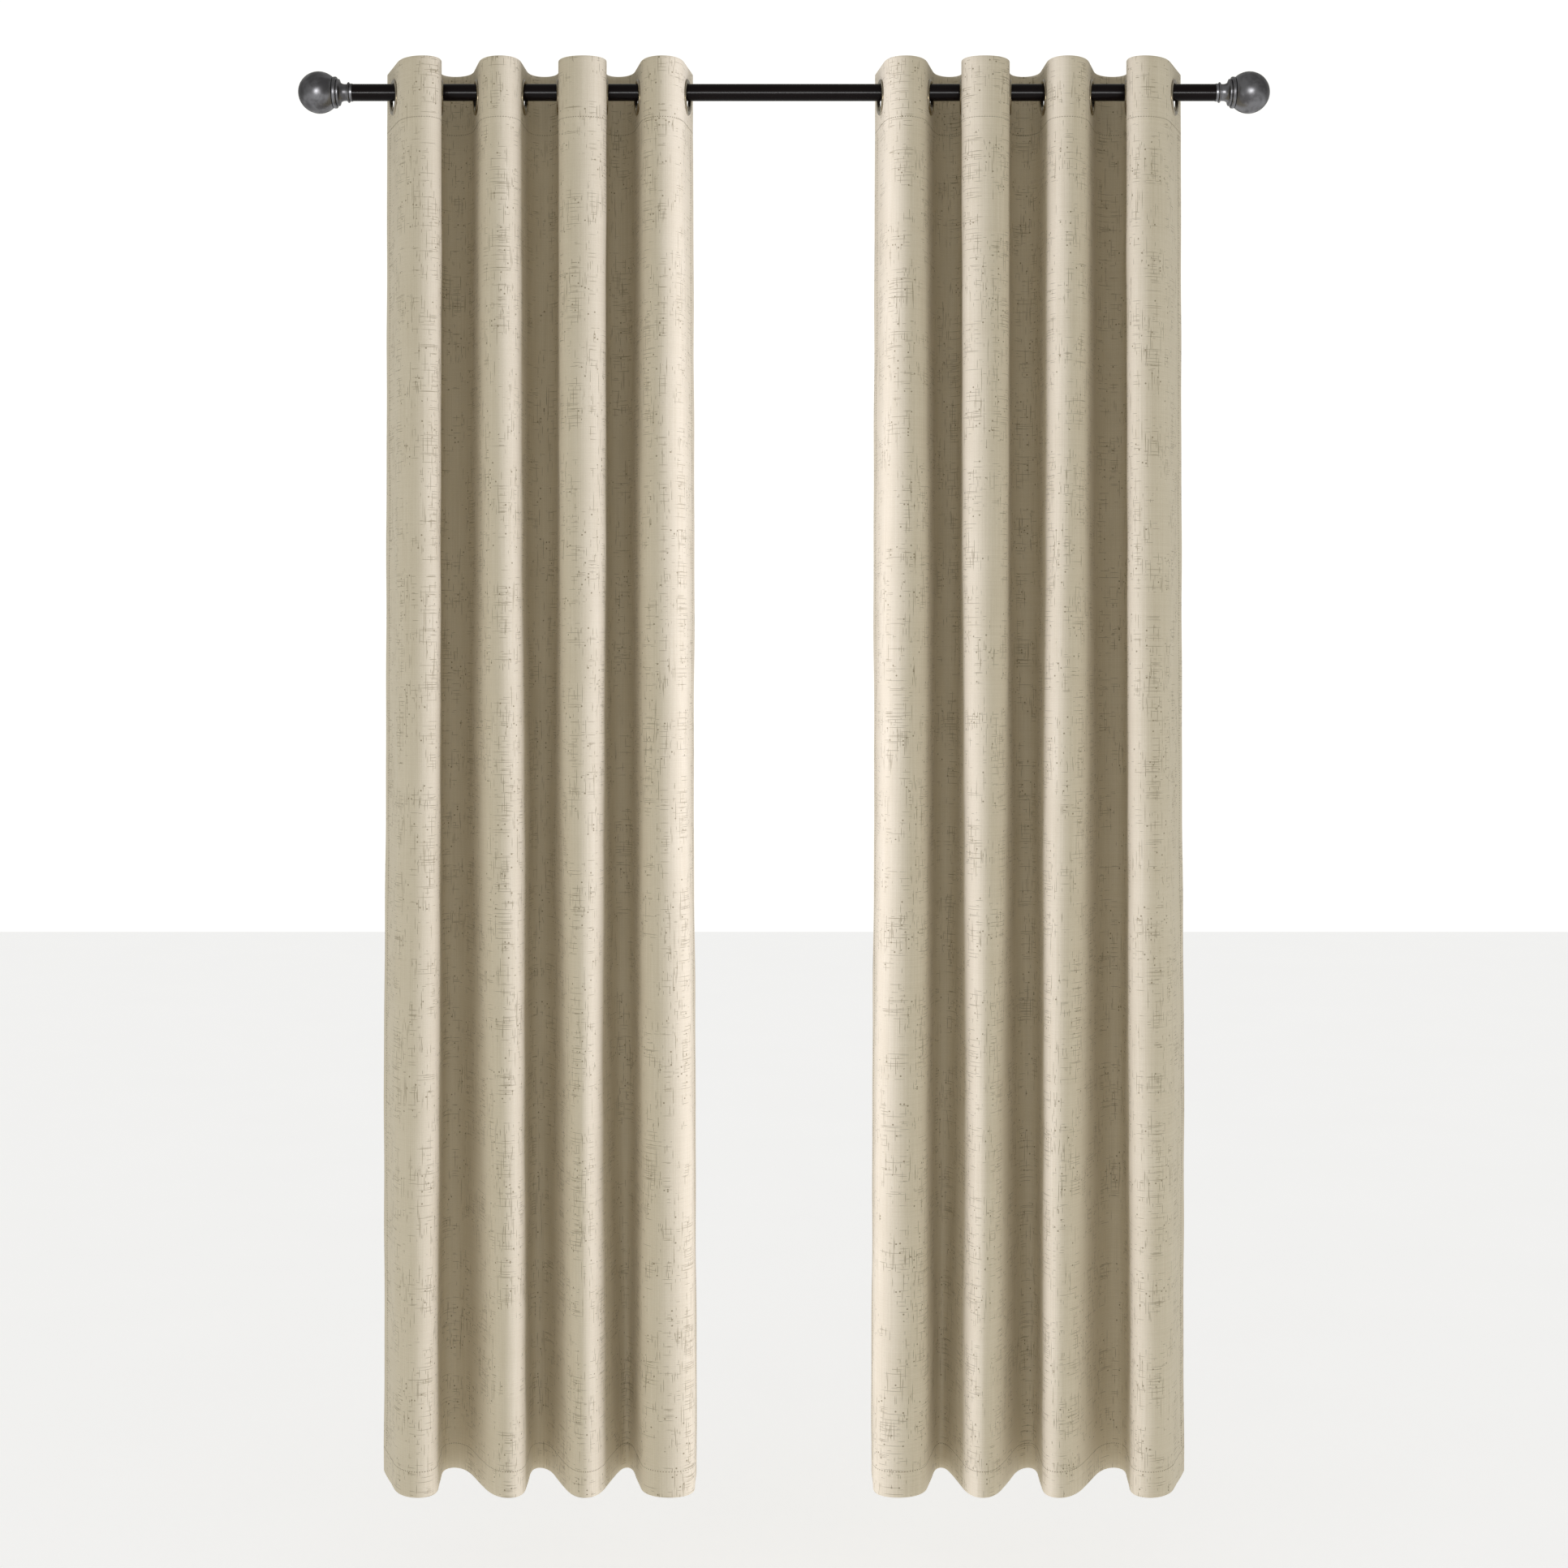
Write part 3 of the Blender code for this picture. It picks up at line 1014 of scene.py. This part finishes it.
    def segment(self, number: int, height: np.ndarray, share: np.ndarray) -> np.ndarray:
        """Points on one leg, edge or fold.

        Args:
            number: 0 is the outer edge's stretch, odd ones are legs, even ones folds, and the
                last is the inner edge's stretch.
            height: N heights.
            share: N shares of the stretch's length.

        Returns:
            N points in plan.
        """
        last = 2 * GROMMETS
        if number % 2 == 0 and 0 < number < last:
            return self.fold_curve(number // 2 - 1, height, share)
        if number == 0:
            leg, start, end = 0, self.edge_reach, self.leg_straight
        elif number == last:
            leg, start, end = GROMMETS - 1, self.leg_straight, self.edge_reach
        else:
            leg = number // 2
            start = self.leg_straight * (-1 if leg % 2 else 1)
            end = -start
        x, lean = self.legs_at(height)
        depth = start + (end - start) * share
        return np.stack([x[:, leg] + lean[:, leg] * depth, depth], axis=1)

    def segment_length(self, number: int) -> float:
        """A stretch's length at the rod's height."""
        share = np.linspace(0, 1, 129)
        line = self.segment(number, np.full_like(share, self.ring_height), share)
        return float(np.linalg.norm(np.diff(line, axis=0), axis=1).sum())

    def plan(self, across: np.ndarray, height: np.ndarray) -> np.ndarray:
        """The middle of the cloth in plan.

        Args:
            across: N distances from the outer edge on the flat cloth.
            height: N heights.

        Returns:
            N points in plan.
        """
        stretch = np.clip(np.searchsorted(self.marks, across, side="right") - 1, 0, 2 * GROMMETS)
        share = (across - self.marks[stretch]) / np.diff(self.marks)[stretch]
        points = np.zeros((len(across), 2))
        for number in range(2 * GROMMETS + 1):
            here = stretch == number
            if here.any():
                points[here] = self.segment(number, height[here], share[here])
        return points

    def ripple(self, across: np.ndarray, height: np.ndarray) -> np.ndarray:
        """How far the cloth stands proud of its smooth folds, in metres.

        Args:
            across: N distances from the outer edge on the flat cloth.
            height: N heights.

        Returns:
            N offsets along the normal.
        """
        # Soft unevenness of hung cloth, still at the grommets
        waves = ((31, 5.0, 0.3), (57, -11.0, 1.7), (83, 23.0, 4.1), (44, 37.0, 2.2))
        soft = sum(np.sin(a * across + b * height + c) for a, b, c in waves) / len(waves)
        free = np.clip((self.top - 0.02 - height) / 0.35, 0, 1)
        # Puckers that sewing gathers along the header's and the hem's stitches
        pucker = 0.0
        for line in (self.top - self.header_depth, self.bottom + self.hem_depth):
            near = np.exp(-(((height - line) / (16 * MM)) ** 2))
            pucker = pucker + near * (
                np.sin(330 * across + 2.0 * np.sin(41 * across))
                + 0.7 * np.sin(210 * across + 1.3)
            )
        return 0.8 * MM * soft * free + 0.16 * MM * pucker

    def spots(self, across: np.ndarray, height: np.ndarray, back: np.ndarray) -> np.ndarray:
        """Places on the hung cloth.

        Args:
            across: N distances from the outer edge on the flat cloth.
            height: N heights.
            back: N distances behind the middle of the cloth, away from its face.

        Returns:
            N points in space.
        """
        step = 0.4 * MM
        before = self.plan(np.clip(across - step, 0, self.width), height)
        after = self.plan(np.clip(across + step, 0, self.width), height)
        way = after - before
        way /= np.linalg.norm(way, axis=1, keepdims=True)
        behind = np.stack([-way[:, 1], way[:, 0]], axis=1)
        middle = self.plan(across, height)
        moved = middle + behind * (back - self.ripple(across, height))[:, None]
        return np.column_stack([self.side.flip * moved[:, 0], moved[:, 1], height])

    # Rows and columns of the mesh

    def columns(self) -> np.ndarray:
        """Where the mesh's columns lie on the flat cloth, close together at each fold's bends."""
        shares = np.linspace(0, 1, self.fold_columns + 1)
        bends = shares - 0.045 * np.sin(2 * math.tau * shares)
        cuts = []
        for number in range(2 * GROMMETS + 1):
            start, end = self.marks[number], self.marks[number + 1]
            if number in (0, 2 * GROMMETS):
                inside = np.linspace(0, 1, self.edge_columns + 1)
            elif number % 2:
                inside = np.linspace(0, 1, self.leg_columns + 1)
            else:
                inside = bends
            cuts.extend(start + (end - start) * inside[:-1])
        cuts.append(self.width)
        return np.array(cuts)

    def rows(self) -> list[tuple[float, float]]:
        """The mesh's rows as (height, distance behind the middle of the cloth).

        They run from the end of the turned hem, round the bottom, up the cloth's face, round the
        top and down the turned header.
        """
        layer, top, bottom = self.layer, self.top - self.layer, self.bottom + self.layer
        header = self.top - self.header_depth
        hem = self.bottom + self.hem_depth
        ring_low, ring_high = self.ring_height - 27 * MM, self.ring_height + 27 * MM
        turns = np.linspace(0, math.pi, 6)[1:-1]

        def spread(ends: list[tuple[float, int]]) -> list[float]:
            """Heights from the first end on, in that many steps to each next end."""
            heights = [ends[0][0]]
            for (start, _), (end, count) in zip(ends, ends[1:]):
                heights.extend(np.linspace(start, end, count + 1)[1:])
            return heights

        made = [(z, layer) for z in spread([(hem + self.turn_under, 0), (hem, 2), (bottom, 5)])]
        made += [(bottom - layer * math.sin(a), layer * math.cos(a)) for a in turns]
        face = spread(
            [
                (bottom, 0),
                (hem - 3 * MM, 5),
                (hem + 3 * MM, 4),
                (hem + 8 * MM, 3),
                (header - 22 * MM, 84),
                (header - 8 * MM, 2),
                (header - 3 * MM, 3),
                (header + 3 * MM, 4),
                (ring_low, 2),
                (ring_high, 12),
                (top, 4),
            ]
        )
        single = (hem + 3 * MM, hem + 8 * MM, header - 8 * MM, header - 3 * MM)
        made += [(z, -layer * float(np.interp(z, single, (1, 0, 0, 1)))) for z in face]
        made += [(top + layer * math.sin(a), -layer * math.cos(a)) for a in turns]
        back = spread(
            [(top, 0), (ring_high, 4), (ring_low, 12), (header, 3), (header - self.turn_under, 2)]
        )
        made += [(z, layer) for z in back]
        return made

    # Pieces

    def sheet_piece(self, finish: bpy.types.Material) -> bpy.types.Object:
        """The panel's one sheet of cloth, with its header and hem turned back."""
        columns, rows = self.columns(), self.rows()
        shape = bmesh.new()
        bmesh.ops.create_grid(
            shape, x_segments=len(columns) - 1, y_segments=len(rows) - 1, size=0.5
        )
        for vert in shape.verts:
            column = round((vert.co.x + 0.5) * (len(columns) - 1))
            height, back = rows[round((vert.co.y + 0.5) * (len(rows) - 1))]
            vert.co = (columns[column], height, back)
        self.cut_holes(shape)
        self.write_flat(shape, lambda p: self.flat_height(p.y, p.z))
        self.hang(shape)
        return self.thick_piece(f"{self.side.label}_linen", shape, finish)

    def flat_height(self, height: float, back: float) -> float:
        """Height on the flat cloth, before its header and hem were turned."""
        if back > 0 and height > self.bottom + 1.0:
            return 2 * self.top - height
        return 2 * self.bottom - height if back > 0 else height

    def cut_holes(self, shape: bmesh.types.BMesh) -> None:
        """Cut the grommets' holes in the flat cloth, through both layers of the header."""
        for number in range(GROMMETS):
            start, end = self.marks[2 * number + 1 : 2 * number + 3]
            middle = Vector(((start + end) / 2, self.ring_height))
            inside = [
                f
                for f in shape.faces
                if (f.calc_center_median().xy - middle).length < self.hole_radius
            ]
            rim = {v for f in inside for v in f.verts}
            bmesh.ops.delete(shape, geom=inside, context="FACES")
            for vert in rim:
                if vert.is_valid:
                    out = (vert.co.xy - middle).normalized() * self.hole_radius
                    vert.co.xy = middle + out

    def write_flat(self, shape: bmesh.types.BMesh, height: object) -> None:
        """Keep the flat cloth's coordinates, in metres, as the piece's UV map.

        Args:
            shape: The cloth, still flat.
            height: A function from a vertex's place to its height on the flat cloth.
        """
        layer = shape.loops.layers.uv.new("flat")
        shift = 3.0 if self.side is Side.RIGHT else 0.0
        for face in shape.faces:
            for loop in face.loops:
                loop[layer].uv = (loop.vert.co.x + shift, height(loop.vert.co))

    def hang(self, shape: bmesh.types.BMesh) -> None:
        """Move a flat shape's vertices to their places on the hung cloth."""
        flat = np.array([v.co for v in shape.verts])
        for vert, spot in zip(shape.verts, self.spots(flat[:, 0], flat[:, 1], flat[:, 2])):
            vert.co = spot

    def thick_piece(
        self, name: str, shape: bmesh.types.BMesh, finish: bpy.types.Material
    ) -> bpy.types.Object:
        """Give a hung sheet its thickness.

        Args:
            name: The piece's name.
            shape: The sheet's middle surface.
            finish: Its material.

        Returns:
            The closed piece.
        """
        bmesh.ops.recalc_face_normals(shape, faces=shape.faces)
        thin = bpy.data.meshes.new(f"{name}_middle")
        shape.to_mesh(thin)
        shape.free()
        carrier = bpy.data.objects.new(f"{name}_middle", thin)
        bpy.context.scene.collection.objects.link(carrier)
        solid = carrier.modifiers.new("thickness", "SOLIDIFY")
        solid.thickness = self.thickness
        solid.offset = 0.0
        solid.use_even_offset = True
        graph = bpy.context.evaluated_depsgraph_get()
        mesh = bpy.data.meshes.new_from_object(
            carrier.evaluated_get(graph), preserve_all_data_layers=True, depsgraph=graph
        )
        bpy.data.objects.remove(carrier)
        bpy.data.meshes.remove(thin)
        mesh.name = name
        mesh.shade_smooth()
        mesh.set_sharp_from_angle(angle=math.radians(58))
        return add_piece(name, mesh, finish)

    def side_hems(self, finish: bpy.types.Material) -> bpy.types.Object:
        """The narrow hems down both side edges, turned to the back of the cloth."""
        heights = [
            z
            for z, back in self.rows()
            if back <= 0
            and self.bottom + self.hem_depth + self.turn_under < z
            and z < self.top - self.header_depth - self.turn_under
        ]
        turns = np.linspace(0, math.pi, 6)
        shape = bmesh.new()
        flat_places = []
        for inner in (False, True):
            across = list(np.linspace(self.side_depth + self.turn_under, 0, 9)[:-1])
            backs = [self.layer] * len(across)
            across += [self.layer * (1 - math.sin(a)) for a in turns]
            backs += [self.layer * math.cos(a) for a in turns]
            made = bmesh.ops.create_grid(
                shape, x_segments=len(across) - 1, y_segments=len(heights) - 1, size=0.5
            )
            for vert in made["verts"]:
                column = round((vert.co.x + 0.5) * (len(across) - 1))
                row = round((vert.co.y + 0.5) * (len(heights) - 1))
                place = self.width - across[column] if inner else across[column]
                vert.co = (place, heights[row], backs[column])
                flat_places.append(vert)
        self.write_flat(shape, lambda p: p.y)
        self.hang(shape)
        return self.thick_piece(f"{self.side.label}_side_hems", shape, finish)

    def stitches(
        self,
        name: str,
        runs: list[tuple[StitchRun, float, float, float, float]],
        finish: bpy.types.Material,
    ) -> bpy.types.Object:
        """Rows of lockstitch, showing on the cloth's face and on its back.

        Args:
            name: The piece's name.
            runs: For each row its way, where it starts and ends, the other coordinate, and how
                far the middle of the two layers is behind the cloth's middle.
            finish: The thread's material.

        Returns:
            The piece.
        """
        length, breadth, rise = self.stitch_size
        places, turns = [], []
        for run, start, end, other, behind in runs:
            count = max(2, round((end - start) / self.stitch_pitch))
            where = start + (np.arange(count) + 0.5) * (end - start) / count
            across = where if run is StitchRun.ALONG else np.full(count, other)
            height = np.full(count, other) if run is StitchRun.ALONG else where
            way = self.spots(across + MM, height, np.zeros(count))
            way -= self.spots(across - MM, height, np.zeros(count))
            way /= np.linalg.norm(way, axis=1, keepdims=True)
            up = np.tile((0.0, 0.0, 1.0), (count, 1))
            along, beside = (way, up) if run is StitchRun.ALONG else (up, way)
            proud = np.cross(along, beside)
            turn = np.stack([along * length, beside * breadth, proud * rise], axis=2) / 2
            for face in (-1, 1):
                out = behind + face * (self.layer + self.thickness / 2 + 0.1 * rise)
                places.append(self.spots(across, height, np.full(count, out)))
                turns.append(turn)
        place, turn = np.concatenate(places), np.concatenate(turns)
        shape = bmesh.new()
        bmesh.ops.create_uvsphere(
            shape,
            u_segments=6,
            v_segments=4,
            radius=1.0,
            matrix=Matrix.Rotation(math.pi / 2, 4, "Y"),
        )
        apart = 4.0
        repeat(shape, len(place), apart)
        corners = np.array([v.co for v in shape.verts])
        which = np.rint(corners[:, 0] / apart).astype(int)
        corners[:, 0] -= which * apart
        moved = place[which] + np.einsum("nij,nj->ni", turn[which], corners)
        for vert, spot in zip(shape.verts, moved):
            vert.co = spot
        bmesh.ops.recalc_face_normals(shape, faces=shape.faces)
        return add_piece(name, smooth_mesh(name, shape, 180), finish)

    def follow_draw(self, piece: bpy.types.Object) -> None:
        """Bake a piece's placement into its mesh."""
        start = self.grommets[0].place()[0]
        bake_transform(piece)

    def build(self, finishes: Finishes, rod: bpy.types.Object) -> list[bpy.types.Object]:
        """Build and dress the panel.

        Args:
            finishes: The materials.
            rod: The piece that the panel hangs on; not used.

        Returns:
            The pieces made.
        """
        label = self.side.label
        linen = self.sheet_piece(finishes.linen)
        hems = self.side_hems(finishes.linen)
        inset = 2 * MM
        ends = (inset, self.width - inset)
        sides = (self.bottom + self.hem_depth + 6 * MM, self.top - self.header_depth - 6 * MM)
        sewn = [
            self.stitches(
                f"{label}_header_stitches",
                [(StitchRun.ALONG, *ends, self.top - self.header_depth, 0.0)],
                finishes.thread,
            ),
            self.stitches(
                f"{label}_hem_stitches",
                [(StitchRun.ALONG, *ends, self.bottom + self.hem_depth, 0.0)],
                finishes.thread,
            ),
            self.stitches(
                f"{label}_side_stitches",
                [
                    (StitchRun.UP, *sides, self.side_depth, 0.0),
                    (StitchRun.UP, *sides, self.width - self.side_depth, 0.0),
                ],
                finishes.thread,
            ),
        ]
        made = [linen, hems, *sewn]
        for piece in made:
            self.follow_draw(piece)
        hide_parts(f"{label}_curtain")
        return made


# ---------------------------------------------------------------- studio


@dataclass
class Studio:
    """A white studio: pale floor, even light all round, and soft boxes.

    Each panel has a key of its own, from the far side of the middle, so that both are brightest
    on their folds' inner sides, and a weak fill from the outer side. The rod and the rings share
    a narrow light near the camera, and each finial has a small one of its own.
    """

    floor_height: float = -2.30
    panel_middle: float = 0.37
    tall_box: tuple[float, float] = (1.2, 2.6)
    ambient: float = 0.42
    ambient_colour: tuple[float, float, float, float] = (1.0, 0.995, 0.965, 1.0)
    daylight: tuple[float, float, float] = (0.785, 0.80, 1.0)
    neutral: tuple[float, float, float] = (1.0, 1.0, 1.0)
    warm: tuple[float, float, float] = (1.0, 0.93, 0.80)
    key_power: float = 69.0
    fill_power: float = 6.0
    rod_power: float = 190.0
    ring_power: float = 36.0
    finial_power: float = 17.0

    def floor(self) -> None:
        """Lay a wide pale floor below the hems."""
        material, shader = principled("painted_white_floor", Roughness=0.7)
        tree = material.node_tree
        where = add_node(tree, "ShaderNodeTexCoord").outputs["Object"]
        speck = add_node(
            tree, "ShaderNodeTexNoise", {"Vector": where, "Scale": 3.0, "Detail": 4.0}
        ).outputs["Fac"]
        mottle(shader, speck, ("#F2F2F2", "#F7F7F7"))
        shader.inputs["Emission Color"].default_value = (1, 1, 1, 1)
        shader.inputs["Emission Strength"].default_value = 0.5
        shape = bmesh.new()
        bmesh.ops.create_grid(shape, x_segments=8, y_segments=8, size=9.0)
        bmesh.ops.translate(shape, verts=shape.verts, vec=(0, 0, self.floor_height))
        floor = add_piece("studio_floor", smooth_mesh("studio_floor", shape, 30), material)

    def world(self) -> None:
        """Light evenly from all round, and show white behind."""
        world = bpy.data.worlds.new("white_studio")
        bpy.context.scene.world = world
        world.use_nodes = True
        tree = world.node_tree
        tree.nodes.clear()
        path = add_node(tree, "ShaderNodeLightPath")
        lit = add_node(
            tree,
            "ShaderNodeMapRange",
            {"Value": path.outputs["Is Camera Ray"], "To Min": self.ambient, "To Max": 1.06},
        )
        shade = add_node(
            tree, "ShaderNodeBackground", {"Color": self.ambient_colour, "Strength": lit.outputs[0]}
        )
        add_node(tree, "ShaderNodeOutputWorld", {"Surface": shade.outputs[0]})

    def soft_light(
        self,
        name: str,
        place: tuple[float, float, float],
        target: tuple[float, float, float],
        size: tuple[float, float],
        power: float,
        colour: tuple[float, float, float],
        lit: list[bpy.types.Object],
    ) -> None:
        """Add a soft box that lights some pieces only.

        Args:
            name: The light's name.
            place: Where it stands.
            target: What it points at.
            size: Its width and height.
            power: In watts.
            colour: Linear.
            lit: The pieces that it lights.
        """
        lamp = bpy.data.lights.new(name, "AREA")
        lamp.shape = "RECTANGLE"
        lamp.size, lamp.size_y = size
        lamp.energy, lamp.color = power, colour
        stand = bpy.data.objects.new(name, lamp)
        bpy.context.scene.collection.objects.link(stand)
        stand.location = place
        way = Vector(target) - Vector(place)
        stand.rotation_euler = way.to_track_quat("-Z", "Y").to_euler()
        stand.visible_camera = False
        group = bpy.data.collections.new(f"{name}_lights")
        for piece in lit:
            group.objects.link(piece)
        stand.light_linking.receiver_collection = group
        log.info("%s: %.0f W on %d pieces", name, power, len(lit))

    def camera(self) -> None:
        """Stand the camera square to the rod, at the panels' middle height."""
        lens = bpy.data.cameras.new("camera")
        lens.lens, lens.sensor_width = 54.8, 36.0
        lens.shift_y = -0.0807
        camera = bpy.data.objects.new("camera", lens)
        bpy.context.scene.collection.objects.link(camera)
        camera.location = (0, -3.6, -0.852)
        camera.rotation_euler = (math.pi / 2, 0, 0)
        bpy.context.scene.camera = camera

    def build(
        self,
        rod: bpy.types.Object,
        cloth: dict[Side, list[bpy.types.Object]],
        rings: dict[Side, list[bpy.types.Object]],
        finials: dict[Side, list[bpy.types.Object]],
    ) -> None:
        """Set up the whole studio.

        Args:
            rod: The tube.
            cloth: Each panel's pieces.
            rings: Each panel's grommets.
            finials: Each end's collar and ball.
        """
        bpy.context.scene.view_settings.view_transform = "Standard"
        self.world()
        self.floor()
        for side, pieces in cloth.items():
            sign = side.value
            middle = (sign * self.panel_middle, 0.0, -1.0)
            boxes = (
                ("key", (-sign * 2.14, -0.70, -0.9), self.key_power, self.daylight),
                ("fill", (sign * 2.36, -0.93, -0.9), self.fill_power, self.neutral),
            )
            for use, place, power, colour in boxes:
                self.soft_light(
                    f"{side.label}_{use}", place, middle, self.tall_box, power, colour, pieces
                )
            self.soft_light(
                f"{side.label}_finial_light",
                (sign * 0.74, -2.0, -0.16),
                (sign * 0.70, 0.0, 0.0),
                (0.8, 0.6),
                self.finial_power,
                self.neutral,
                finials[side],
            )
        strip = ((0.0, -2.4, -0.57), (0.0, 0.0, 0.0), (5.0, 0.30))
        self.soft_light("rod_strip", *strip, self.rod_power, self.neutral, [rod])
        every_ring = [ring for side in Side for ring in rings[side]]
        self.soft_light("ring_strip", *strip, self.ring_power, self.warm, every_ring)
        self.camera()


# ---------------------------------------------------------------- all together


def dress_hidden_hardware(finishes: Finishes) -> None:
    """Give the plugs and studs inside the rod's ends their plating.

    Args:
        finishes: The materials.
    """
    for side in Side:
        for part in ("end_plug", "finial_stud"):
            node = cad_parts[f"{side.label}_{part}"]
            node.data.materials.clear()
            node.data.materials.append(finishes.zinc)
            log.info("%s: the frame's own, %s", node.name, finishes.zinc.name)


def main() -> None:
    """Build every piece, then the studio."""
    logging.basicConfig(level=logging.INFO, format="%(name)s: %(message)s")
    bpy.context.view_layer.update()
    finishes = Finishes()
    dress_hidden_hardware(finishes)
    rod = Rod().build(finishes)
    cloth, rings, finials = {}, {}, {}
    for side in Side:
        finials[side] = Finial(side).build(finishes)
        grommets = [Grommet(side, number) for number in range(1, GROMMETS + 1)]
        rings[side] = [piece for grommet in grommets for piece in grommet.build(finishes)]
        cloth[side] = CurtainPanel(side, grommets).build(finishes, rod)
    Studio().build(rod, cloth, rings, finials)


if __name__ == "__main__":
    main()
